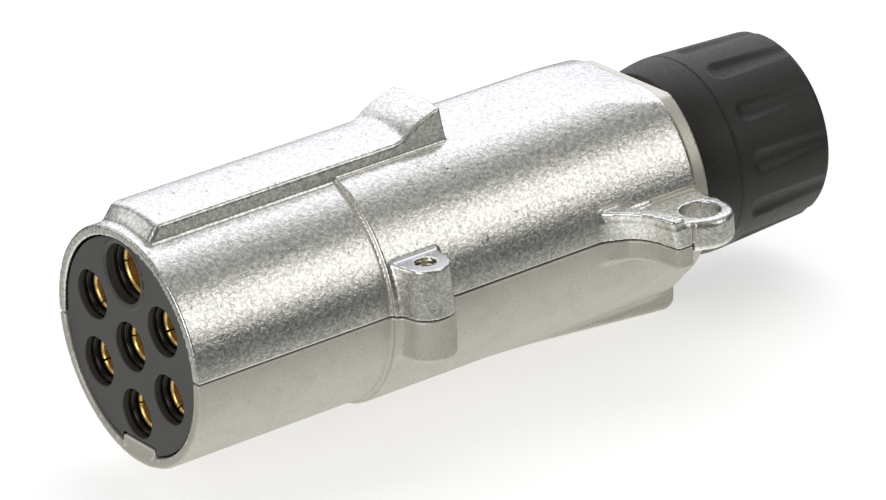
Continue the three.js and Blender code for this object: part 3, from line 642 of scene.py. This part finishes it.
def terminal_screw_field(rear):
    """The slotted screw in the tail of a contact that ends at rear."""
    middle = rear - CLAMP_SETBACK

    def field(p):
        x, r = p[:, 0] - middle, np.hypot(p[:, 0] - middle, p[:, 1])
        shape = keep_round(r - 1.3, slab(p[:, 2], 1.4, 4.6), 0.15)
        return np.maximum(shape, -np.maximum(np.abs(x) - 0.25, 3.8 - p[:, 2]))

    axes = (
        spans((middle - 1.7, middle + 1.7, 0.15)),
        spans((-1.7, 1.7, 0.15)),
        spans((1.1, 4.9, 0.15)),
    )
    return field, axes


# ---- Gland and housing screws ----


def nut_field(p):
    """The fluted nut: a cone up to its crease, then a slight taper, and a threaded hollow."""
    x, r = p[:, 0], radius(p, GLAND_Z)
    run = NUT_END - NUT_CREASE
    side = [(NUT_START, NUT_MOUTH), (NUT_START + 2.6, 17.72), (NUT_CREASE, NUT_RADIUS + 0.02)]
    cone = profile_field(x, r, side, 0.8)
    barrel = line_field(x, r, (NUT_CREASE, NUT_RADIUS), (NUT_END, NUT_RADIUS - NUT_TAPER))
    shape = keep_round(np.maximum(cone, barrel), x - NUT_END, 1.4)
    shape = keep_round(shape, NUT_START - x, 0.5)
    crease = np.hypot(x - NUT_CREASE, r - NUT_RADIUS - 0.05) - 0.28
    shape = cut_round(shape, crease, 0.15)
    angle = np.arctan2(p[:, 2] - GLAND_Z, p[:, 1]) - FLUTE_PHASE
    sector = 2 * np.pi / FLUTES
    angle -= np.round(angle / sector) * sector
    out, across = r * np.cos(angle), r * np.sin(angle)
    nose = NUT_CREASE + 4.9
    depth = FLUTE_DEPTH - FLUTE_FADE * np.clip((x - nose) / (NUT_END - nose), 0, 1)
    centre = NUT_RADIUS - NUT_TAPER * (x - NUT_CREASE) / run - depth + FLUTE_RADIUS
    flute = np.hypot(np.hypot(np.minimum(x - nose, 0), across), out - centre) - FLUTE_RADIUS
    shape = cut_round(shape, flute, 0.3)
    mouth = np.maximum(r - NUT_ROOM, x - NUT_RELIEF_END)
    lead = line_field(x, r, (NUT_RELIEF_END, NUT_ROOM), (NUT_RELIEF_END + 1, NUT_BORE))
    taper = np.maximum(lead, slab(x, 110, 112))
    tapped = np.maximum(r - NUT_BORE, x - 119)
    room = np.maximum(np.maximum(r - NUT_ROOM, 132.95 - r - x), slab(x, 118.3, 129.8))
    hollow = np.minimum(np.minimum(mouth, taper), np.minimum(tapped, room))
    groove = thread_field(p, 13.45, NUT_ROOM, 1.15, 0.7, 108, 120)
    flare = np.maximum(x - NUT_END + 1.6, 0) ** 2 * 0.55
    cable = r - NUT_CABLE_HOLE - flare
    hollow = np.minimum(np.minimum(hollow, groove), cable)
    return cut_round(shape, hollow, 0.3)


def ring_field(p):
    x, r = p[:, 0], radius(p, GLAND_Z)
    return cut_round(keep_round(r - RING[0], slab(x, *RING_SPAN), 0.3), r - RING[1], 0.3)


def seal_field(p):
    x, r = p[:, 0], radius(p, GLAND_Z)
    shape = keep_round(r - SEAL[0], slab(x, *SEAL_SPAN), 0.9)
    return cut_round(shape, r - SEAL[1], 0.5)


def housing_screw_field(side):
    """The threaded screw with a cross recess, on side -1 or 1."""

    def field(p):
        x, y, z = p[:, 0] - SCREW_X, p[:, 1] - side * SCREW_Y, p[:, 2]
        r = np.hypot(x, y)
        head = keep_round(r - HEAD_RADIUS, slab(z, HEAD_LOW, HEAD_HIGH), 0.35)
        turn = z / SCREW_PITCH - np.arctan2(y, x) / (2 * np.pi)
        off = np.abs(turn - np.round(turn)) * SCREW_PITCH
        shank = np.maximum(r - 1.64 + 0.9 * np.maximum(off - 0.1, 0), slab(z, -6, SCREW_TIP))
        plain = np.maximum(r - SCREW_CORE, slab(z, -6, SCREW_TIP - 0.2))
        shape = np.minimum(np.minimum(head, shank), plain)
        cross = np.minimum(np.abs(x), np.abs(y)) - 0.42 - 0.08 * (HEAD_LOW - z)
        recess = np.maximum(np.maximum(cross, r - 1.8), z + 6.65)
        return cut_round(shape, recess, 0.08)

    y = side * SCREW_Y
    axes = (
        spans((SCREW_X - 3.2, SCREW_X + 3.2, 0.16)),
        spans((y - 3.2, y + 3.2, 0.16)),
        spans((-8.3, -5.2, 0.16), (-5.2, 6.3, 0.12)),
    )
    return field, axes


def washer_field(side):
    """The split spring washer under a housing screw's head."""

    def field(p):
        x, y, z = p[:, 0] - SCREW_X, p[:, 1] - side * SCREW_Y, p[:, 2]
        r = np.hypot(x, y)
        ring = keep_round(np.abs(r - WASHER_MIDDLE) - 0.5, slab(z, *WASHER_SPAN), 0.12)
        split = np.maximum(np.abs(y + 0.5 * (z + 5.05)) - 0.18, -x)
        return np.maximum(ring, -split)

    y = side * SCREW_Y
    axes = (
        spans((SCREW_X - 3.3, SCREW_X + 3.3, 0.15)),
        spans((y - 3.3, y + 3.3, 0.15)),
        spans((-5.8, -4.3, 0.12)),
    )
    return field, axes


# ---- Materials ----


class Paint:
    """A material's nodes, with short ways to add and join them."""

    def __init__(self, name, **shader):
        self.material = bpy.data.materials.new(name)
        self.material.use_nodes = True
        self.nodes = self.material.node_tree.nodes
        self.links = self.material.node_tree.links
        self.shader = self.nodes["Principled BSDF"]
        for key, value in shader.items():
            self.shader.inputs[key.replace("_", " ")].default_value = value
        self.coords = self.nodes.new("ShaderNodeTexCoord").outputs["Object"]

    def wire(self, source, target):
        self.links.new(source, target)

    def noise(self, scale, detail=3.0, rough=0.55, stretch=None, distortion=0.0):
        """Noise whose features are about 1/scale metres across."""
        coords = self.coords
        if stretch:
            mapping = self.nodes.new("ShaderNodeMapping")
            mapping.inputs["Scale"].default_value = stretch
            self.wire(coords, mapping.inputs["Vector"])
            coords = mapping.outputs["Vector"]
        node = self.nodes.new("ShaderNodeTexNoise")
        node.inputs["Scale"].default_value = scale
        node.inputs["Detail"].default_value = detail
        node.inputs["Roughness"].default_value = rough
        node.inputs["Distortion"].default_value = distortion
        self.wire(coords, node.inputs["Vector"])
        return node.outputs["Fac"]

    def attribute(self, name):
        node = self.nodes.new("ShaderNodeAttribute")
        node.attribute_name = name
        return node.outputs["Fac"]

    def ramp(self, value, low, high, to_low=0.0, to_high=1.0):
        node = self.nodes.new("ShaderNodeMapRange")
        node.interpolation_type = "SMOOTHSTEP"
        for key, number in (("From Min", low), ("From Max", high), ("To Min", to_low), ("To Max", to_high)):
            node.inputs[key].default_value = number
        self.wire(value, node.inputs["Value"])
        return node.outputs["Result"]

    def math(self, kind, a, b):
        node = self.nodes.new("ShaderNodeMath")
        node.operation = kind
        for socket, value in zip(node.inputs, (a, b)):
            if isinstance(value, (int, float)):
                socket.default_value = value
            else:
                self.wire(value, socket)
        return node.outputs[0]

    def mix(self, share, a, b):
        node = self.nodes.new("ShaderNodeMix")
        node.data_type = "RGBA"
        for key, value in ((6, a), (7, b)):
            if isinstance(value, tuple):
                node.inputs[key].default_value = (*value, 1)
            else:
                self.wire(value, node.inputs[key])
        self.wire(share, node.inputs[0])
        return node.outputs[2]

    def colour(self, value):
        self.wire(value, self.shader.inputs["Base Color"])

    def roughness(self, value):
        self.wire(value, self.shader.inputs["Roughness"])

    def bump(self, *layers):
        """Bump layers of (height, strength, depth in millimetres), each on top of the last."""
        below = None
        for height, strength, depth in layers:
            node = self.nodes.new("ShaderNodeBump")
            node.inputs["Strength"].default_value = strength
            node.inputs["Distance"].default_value = depth * MM
            self.wire(height, node.inputs["Height"])
            if below:
                self.wire(below, node.inputs["Normal"])
            below = node.outputs["Normal"]
        self.wire(below, self.shader.inputs["Normal"])


def tumbled_metal():
    """The upper half: tumbled bright all over, but as cast in its inner corners."""
    paint = Paint("tumbled_cast_metal", Metallic=1.0, Roughness=0.22)
    fine = paint.noise(3000, 2, 0.6)
    grain = paint.noise(1350, 4, 0.68, distortion=0.5)
    flecks = paint.noise(1000, 4, 0.7, distortion=0.8)
    patches = paint.noise(130, 3, 0.6)
    as_cast = paint.ramp(paint.attribute("hollow"), 0.10, 0.34)
    milled = paint.attribute("milled")
    metal = paint.mix(paint.ramp(grain, 0.38, 0.62), (0.62, 0.63, 0.62), (0.92, 0.90, 0.86))
    dark = paint.math("MULTIPLY", paint.ramp(flecks, 0.42, 0.30), paint.ramp(patches, 0.3, 0.62, 0.45, 1.0))
    metal = paint.mix(dark, metal, (0.26, 0.27, 0.245))
    metal = paint.mix(as_cast, metal, (0.70, 0.665, 0.60))
    metal = paint.mix(milled, metal, (0.66, 0.66, 0.69))
    polished = paint.ramp(paint.attribute("edge"), 0.12, 0.45)
    paint.colour(paint.mix(polished, metal, (0.93, 0.92, 0.90)))
    rough = paint.ramp(fine, 0.3, 0.7, 0.15, 0.27)
    paint.roughness(paint.math("ADD", rough, paint.math("MULTIPLY", as_cast, 0.26)))
    smooth = paint.ramp(paint.math("MAXIMUM", as_cast, milled), 0.0, 1.0, 1.0, 0.05)
    paint.bump(
        (paint.math("MULTIPLY", fine, smooth), 0.5, 0.05),
        (paint.math("MULTIPLY", grain, smooth), 0.75, 0.095),
        (paint.noise(60, 2), 0.3, 0.25),
    )
    return paint.material


def cast_metal():
    """The lower half: matte and fine-grained, as it left the mould."""
    paint = Paint("matte_cast_metal", Metallic=0.6, Roughness=0.42)
    grain = paint.noise(3400, 3, 0.6)
    stains = paint.noise(240, 4, 0.6, distortion=0.5)
    metal = paint.mix(paint.ramp(grain, 0.3, 0.7), (0.50, 0.475, 0.42), (0.60, 0.575, 0.525))
    metal = paint.mix(paint.ramp(stains, 0.42, 0.66, 0.0, 0.4), metal, (0.46, 0.44, 0.395))
    pits = paint.ramp(paint.noise(1900, 2, 0.5), 0.30, 0.24)
    metal = paint.mix(pits, metal, (0.24, 0.225, 0.19))
    polished = paint.ramp(paint.attribute("edge"), 0.12, 0.5)
    paint.colour(paint.mix(polished, metal, (0.84, 0.82, 0.78)))
    paint.roughness(paint.ramp(polished, 0.0, 1.0, 0.44, 0.28))
    paint.bump((grain, 0.35, 0.04), (stains, 0.3, 0.12))
    return paint.material


def insert_plastic():
    """Satin black moulding, with glossy wells whose colour is darkened to near black with painted shade."""
    paint = Paint("satin_black_plastic", Roughness=0.38, Specular_IOR_Level=0.5)
    grain = paint.noise(1800, 3, 0.6)
    face = paint.mix(paint.noise(120, 3), (0.050, 0.050, 0.050), (0.068, 0.067, 0.065))
    # Painted shade: deep in each well the colour goes to near black, standing in for the shade inside it;
    # the same mask also makes the wells glossier.
    well_shade_and_gloss = paint.ramp(paint.attribute("hollow"), 0.12, 0.40)
    paint.colour(paint.mix(well_shade_and_gloss, face, (0.006, 0.006, 0.006)))
    paint.roughness(paint.ramp(well_shade_and_gloss, 0.0, 1.0, 0.42, 0.16))
    paint.bump((grain, 0.12, 0.02))
    return paint.material


def nut_plastic():
    """Fine-textured black plastic with dusty scuffs along its crease and edges."""
    paint = Paint("textured_black_plastic", Roughness=0.55, Specular_IOR_Level=0.5)
    grain = paint.noise(2000, 3, 0.65)
    scuffs = paint.noise(420, 5, 0.7, distortion=0.6)
    patches = paint.noise(55, 2, 0.5)
    split = paint.nodes.new("ShaderNodeSeparateXYZ")
    paint.wire(paint.coords, split.inputs["Vector"])
    crease = ORIGIN[0] + NUT_CREASE * MM
    before = paint.ramp(split.outputs["X"], crease - 6 * MM, crease - 1 * MM)
    after = paint.ramp(split.outputs["X"], crease + 3 * MM, crease)
    band = paint.math("MULTIPLY", paint.math("MULTIPLY", before, after), paint.ramp(patches, 0.46, 0.62))
    rubbed = paint.math("MAXIMUM", band, paint.ramp(paint.attribute("edge"), 0.1, 0.6, 0.0, 0.8))
    worn = paint.math("MULTIPLY", rubbed, paint.ramp(scuffs, 0.42, 0.60))
    base = paint.mix(paint.noise(90, 3), (0.017, 0.0155, 0.0135), (0.025, 0.0235, 0.021))
    base = paint.mix(paint.ramp(grain, 0.60, 0.74, 0.0, 0.6), base, (0.075, 0.068, 0.058))
    paint.colour(paint.mix(worn, base, (0.17, 0.145, 0.115)))
    paint.roughness(paint.ramp(grain, 0.3, 0.7, 0.40, 0.56))
    paint.bump((grain, 0.6, 0.09), (scuffs, 0.25, 0.08))
    return paint.material


def turned_brass():
    """Brass with the tool's rings, which spread the light along each bore."""
    paint = Paint("turned_brass", Metallic=0.8, Roughness=0.28)
    rings = paint.noise(700, 2, 0.5, stretch=(6.0, 0.4, 0.4))
    paint.colour(paint.mix(paint.ramp(rings, 0.3, 0.7), (0.80, 0.50, 0.14), (1.0, 0.76, 0.34)))
    paint.roughness(paint.ramp(rings, 0.3, 0.7, 0.22, 0.36))
    paint.bump((rings, 0.9, 0.09))
    return paint.material


def zinc_steel(name, low, high):
    paint = Paint(name, Metallic=1.0, Roughness=0.3)
    film = paint.noise(500, 3, 0.6)
    paint.colour(paint.mix(paint.ramp(film, 0.3, 0.7), low, high))
    paint.roughness(paint.ramp(paint.noise(1500, 2), 0.3, 0.7, 0.24, 0.38))
    paint.bump((paint.noise(2200, 2), 0.2, 0.03))
    return paint.material


def soft_material(name, low, high, rough):
    paint = Paint(name, Roughness=rough)
    grain = paint.noise(1600, 3, 0.6)
    paint.colour(paint.mix(paint.ramp(grain, 0.3, 0.7), low, high))
    paint.roughness(paint.ramp(grain, 0.3, 0.7, rough - 0.08, rough + 0.06))
    paint.bump((grain, 0.3, 0.05))
    return paint.material


# ---- Pieces ----


def dress(piece, material):
    piece.data.materials.clear()
    piece.data.materials.append(material)
    return piece


def build_shells():
    step = 0.6 if FINE else 0.8
    tight = 0.36 if FINE else 0.5
    curved = 0.42 if FINE else 0.7
    long = 2.5 * step
    along = spans(
        (-0.8, 5.2, tight), (5.2, 37.2, long), (37.2, 51.2, tight), (51.2, 64.2, step),
        (64.2, 81.2, long), (81.2, 109.2, tight * 1.2), (109.2, 127, step),
    )
    sides = ((19.5, 29.1, tight), (29.1, 36, tight * 1.2))
    other_sides = [(-b, -a, c) for a, b, c in sides[::-1]]
    middle = ((-19.5, -8.4, step), (-8.4, 8.4, curved), (8.4, 19.5, step))
    across = spans(*other_sides, *middle, *sides)
    up = spans(
        (-2.4, -0.15, 0.3), (-0.15, 1.05, 0.15), (1.05, 9.6, tight), (9.6, 19.2, step),
        (19.2, 29.2, curved),
    )
    top = make_solid("upper_shell_cast", upper_shell, (along, across, up), bare_from=BODY_END)
    dress(top, tumbled_metal())
    place(top, "shell", "shell_upper", "upper_shell")
    down = spans((-25, -8.6, step), (-8.6, -0.9, 0.45), (-0.9, 0.3, 0.15))
    base = dress(make_solid("lower_shell_cast", lower_shell, (along, across, down)), cast_metal())
    place(base, "shell", "shell_lower", "lower_shell")


def build_insert():
    step = 0.25 if FINE else 0.45
    along = spans((0.1, 5.0, 0.2 if FINE else 0.35), (5.0, 36.5, 2.25))
    across = spans((-19.6, 19.6, step))
    piece = dress(make_solid("insert_moulding", insert_field, (along, across, across)), insert_plastic())
    place(piece, "shell", "insert", "contact_insert")


def turned_copy(name, source, angle, y, z):
    """A copy of a piece made on the axis, turned round the axis and moved to (y, z)."""
    mesh = source.data.copy()
    turn = Matrix.Rotation(angle, 4, "X")
    to_axis = Matrix.Translation(Vector(ORIGIN))
    shift = Matrix.Translation(Vector((0, y * MM, z * MM)))
    mesh.transform(shift @ to_axis @ turn @ to_axis.inverted())
    made = bpy.data.objects.new(name, mesh)
    bpy.context.scene.collection.objects.link(made)
    return made


def build_contacts():
    brass = turned_brass()
    steel = zinc_steel("zinc_terminal_steel", (0.52, 0.48, 0.38), (0.68, 0.64, 0.54))
    for kind, size, tail, numbers in CONTACT_KINDS:
        sleeve = dress(make_solid("sleeve_" + kind, *contact_field(size, tail), reach=0.4), brass)
        clamp_field, axes = terminal_screw_field(INSERT_END + tail)
        screw = dress(make_solid("terminal_" + kind, clamp_field, axes, reach=0.3), steel)
        for number in numbers:
            y, z, _ = SOCKETS[number - 1]
            outward = math.radians(RING_ANGLES[number - 2]) if kind == "pole" else math.pi / 2
            turn = outward - math.pi / 2
            contact = turned_copy(f"contact_sleeve_{number}", sleeve, turn, y, z)
            place(contact, "shell", "contact", f"contact_{number}")
            clamp = turned_copy(f"terminal_clamp_{number}", screw, turn, y, z)
            place(clamp, "shell", "terminal_screw", f"terminal_screw_{number}")
        bpy.data.objects.remove(sleeve)
        bpy.data.objects.remove(screw)


def build_gland():
    step = 0.42 if FINE else 0.6
    across = spans((-18.7, 18.7, step))
    lifted = across + GLAND_Z
    along = spans((108.8, 112, 0.35), (112, 119, 0.35 if FINE else 0.5), (119, 138, step))
    nut = dress(make_solid("gland_nut_moulding", nut_field, (along, across, lifted)), nut_plastic())
    place(nut, "gland_nut", "gland_nut", "gland_nut")
    across = spans((-13.7, 13.7, 0.35))
    lifted = across + GLAND_Z
    ring = make_solid("slip_ring_turned", ring_field, (spans((127.5, 129.9, 0.2)), across, lifted))
    dress(ring, soft_material("grey_ring_plastic", (0.27, 0.27, 0.26), (0.34, 0.34, 0.33), 0.5))
    place(ring, "slip_ring", "slip_ring", "slip_ring")
    seal = make_solid("cable_seal_moulding", seal_field, (spans((109.6, 128, 0.4)), across, lifted))
    dress(seal, soft_material("seal_rubber", (0.012, 0.012, 0.012), (0.024, 0.024, 0.024), 0.75))
    place(seal, "shell", "seal", "cable_seal")


def build_housing_screws():
    yellow = zinc_steel("yellow_zinc_steel", (0.62, 0.47, 0.20), (0.80, 0.66, 0.36))
    plain = zinc_steel("plain_zinc_steel", (0.50, 0.49, 0.47), (0.66, 0.65, 0.63))
    for side, label in ((-1, "left"), (1, "right")):
        field, axes = housing_screw_field(side)
        screw = dress(make_solid(f"housing_screw_{label}_turned", field, axes, reach=0.3), yellow)
        place(screw, f"housing_screw_{label}", "housing_screw", f"housing_screw_{label}")
        field, axes = washer_field(side)
        washer = dress(make_solid(f"split_washer_{label}", field, axes, reach=0.3), plain)
        place(washer, f"lock_washer_{label}", "lock_washer", f"lock_washer_{label}")


# ---- Stage ----

CAMERA_PLACE = (-0.49384, -0.71755, 0.39905)
CAMERA_AZIMUTH = math.radians(-34.316)
CAMERA_ELEVATION = math.radians(23.470)
CAMERA_ROLL = math.radians(-4.363)
CAMERA_LENS = 223.48


def build_camera():
    a, e = CAMERA_AZIMUTH, CAMERA_ELEVATION
    back = Vector((math.sin(a) * math.cos(e), -math.cos(a) * math.cos(e), math.sin(e)))
    level = Vector((0, 0, 1)).cross(back).normalized()
    upward = back.cross(level)
    right = level * math.cos(CAMERA_ROLL) + upward * math.sin(CAMERA_ROLL)
    up = upward * math.cos(CAMERA_ROLL) - level * math.sin(CAMERA_ROLL)
    data = bpy.data.cameras.new("camera")
    data.lens = CAMERA_LENS
    data.sensor_width = 36
    data.clip_start = 0.05
    data.clip_end = 50
    camera = bpy.data.objects.new("camera", data)
    rotation = Matrix((right, up, back)).transposed().to_4x4()
    camera.matrix_world = Matrix.Translation(Vector(CAMERA_PLACE)) @ rotation
    bpy.context.scene.collection.objects.link(camera)
    bpy.context.scene.camera = camera


# Studio light: a direction to each softbox, the cosines where it starts and is full, and its strength.
SOFTBOXES = [
    ((0.52, 0.60, 0.60), 0.68, 0.88, 1.2, (0.95, 0.965, 1.03)),
    ((0.52, -0.72, 0.46), 0.935, 0.985, 1.45, (1.0, 0.985, 0.94)),
    ((-0.90, -0.34, 0.28), 0.93, 0.985, 3.4, (1.0, 0.99, 0.97)),
    ((-0.60, 0.74, 0.30), 0.90, 0.98, 0.9, (1.0, 1.0, 1.0)),
]
FLOOR_GLOW = 0.5
# Base radiance of the studio from straight down to straight up.
SKY = [(0.0, 1.2), (0.16, 0.85), (0.32, 0.45), (0.44, 0.13), (0.52, 0.11), (0.72, 0.16), (1.0, 0.4)]


def build_world():
    """A dim room with a few large softboxes, worked out from the direction alone."""
    world = bpy.context.scene.world or bpy.data.worlds.new("studio")
    bpy.context.scene.world = world
    world.use_nodes = True
    nodes, links = world.node_tree.nodes, world.node_tree.links
    direction = nodes.new("ShaderNodeTexCoord").outputs["Generated"]
    split = nodes.new("ShaderNodeSeparateXYZ")
    links.new(direction, split.inputs["Vector"])
    height = nodes.new("ShaderNodeMapRange")
    height.inputs["From Min"].default_value = -1
    links.new(split.outputs["Z"], height.inputs["Value"])
    ramp = nodes.new("ShaderNodeValToRGB")
    ramp.color_ramp.interpolation = "EASE"
    while len(ramp.color_ramp.elements) < len(SKY):
        ramp.color_ramp.elements.new(0.5)
    for stop, (at, level) in zip(ramp.color_ramp.elements, SKY):
        stop.position = at
        stop.color = (level, level, level * 0.94, 1)
    links.new(height.outputs["Result"], ramp.inputs["Fac"])
    total = ramp.outputs["Color"]
    for aim, start, full, power, colour in SOFTBOXES:
        dot = nodes.new("ShaderNodeVectorMath")
        dot.operation = "DOT_PRODUCT"
        links.new(direction, dot.inputs[0])
        dot.inputs[1].default_value = Vector(aim).normalized()
        glow = nodes.new("ShaderNodeMapRange")
        glow.interpolation_type = "SMOOTHSTEP"
        glow.inputs["From Min"].default_value = start
        glow.inputs["From Max"].default_value = full
        links.new(dot.outputs["Value"], glow.inputs["Value"])
        tint = nodes.new("ShaderNodeVectorMath")
        tint.operation = "SCALE"
        tint.inputs[0].default_value = Vector(colour) * power
        links.new(glow.outputs["Result"], tint.inputs["Scale"])
        add = nodes.new("ShaderNodeVectorMath")
        links.new(total, add.inputs[0])
        links.new(tint.outputs["Vector"], add.inputs[1])
        total = add.outputs["Vector"]
    links.new(total, nodes["Background"].inputs["Color"])
    nodes["Background"].inputs["Strength"].default_value = 1.0


def build_stage():
    """A pale floor that glows a little, so that shadows on it stay soft."""
    mesh = bpy.data.meshes.new("floor")
    reach = 6.0
    corners = [(-reach, -reach, 0), (reach, -reach, 0), (reach, reach, 0), (-reach, reach, 0)]
    mesh.from_pydata(corners, [], [(0, 1, 2, 3)])
    floor = bpy.data.objects.new("floor", mesh)
    bpy.context.scene.collection.objects.link(floor)
    floor.visible_glossy = False
    paint = Paint("pale_floor", Roughness=0.9, Specular_IOR_Level=0.0)
    paint.colour(paint.mix(paint.noise(3, 2), (0.86, 0.86, 0.86), (0.90, 0.90, 0.90)))
    paint.shader.inputs["Emission Color"].default_value = (1, 1, 1, 1)
    paint.shader.inputs["Emission Strength"].default_value = FLOOR_GLOW
    dress(floor, paint.material)
    build_world()


build_camera()
build_shells()
build_insert()
build_contacts()
build_gland()
build_housing_screws()
build_stage()

bpy.context.scene.view_settings.view_transform = "Standard"
bpy.context.scene.view_settings.look = "None"
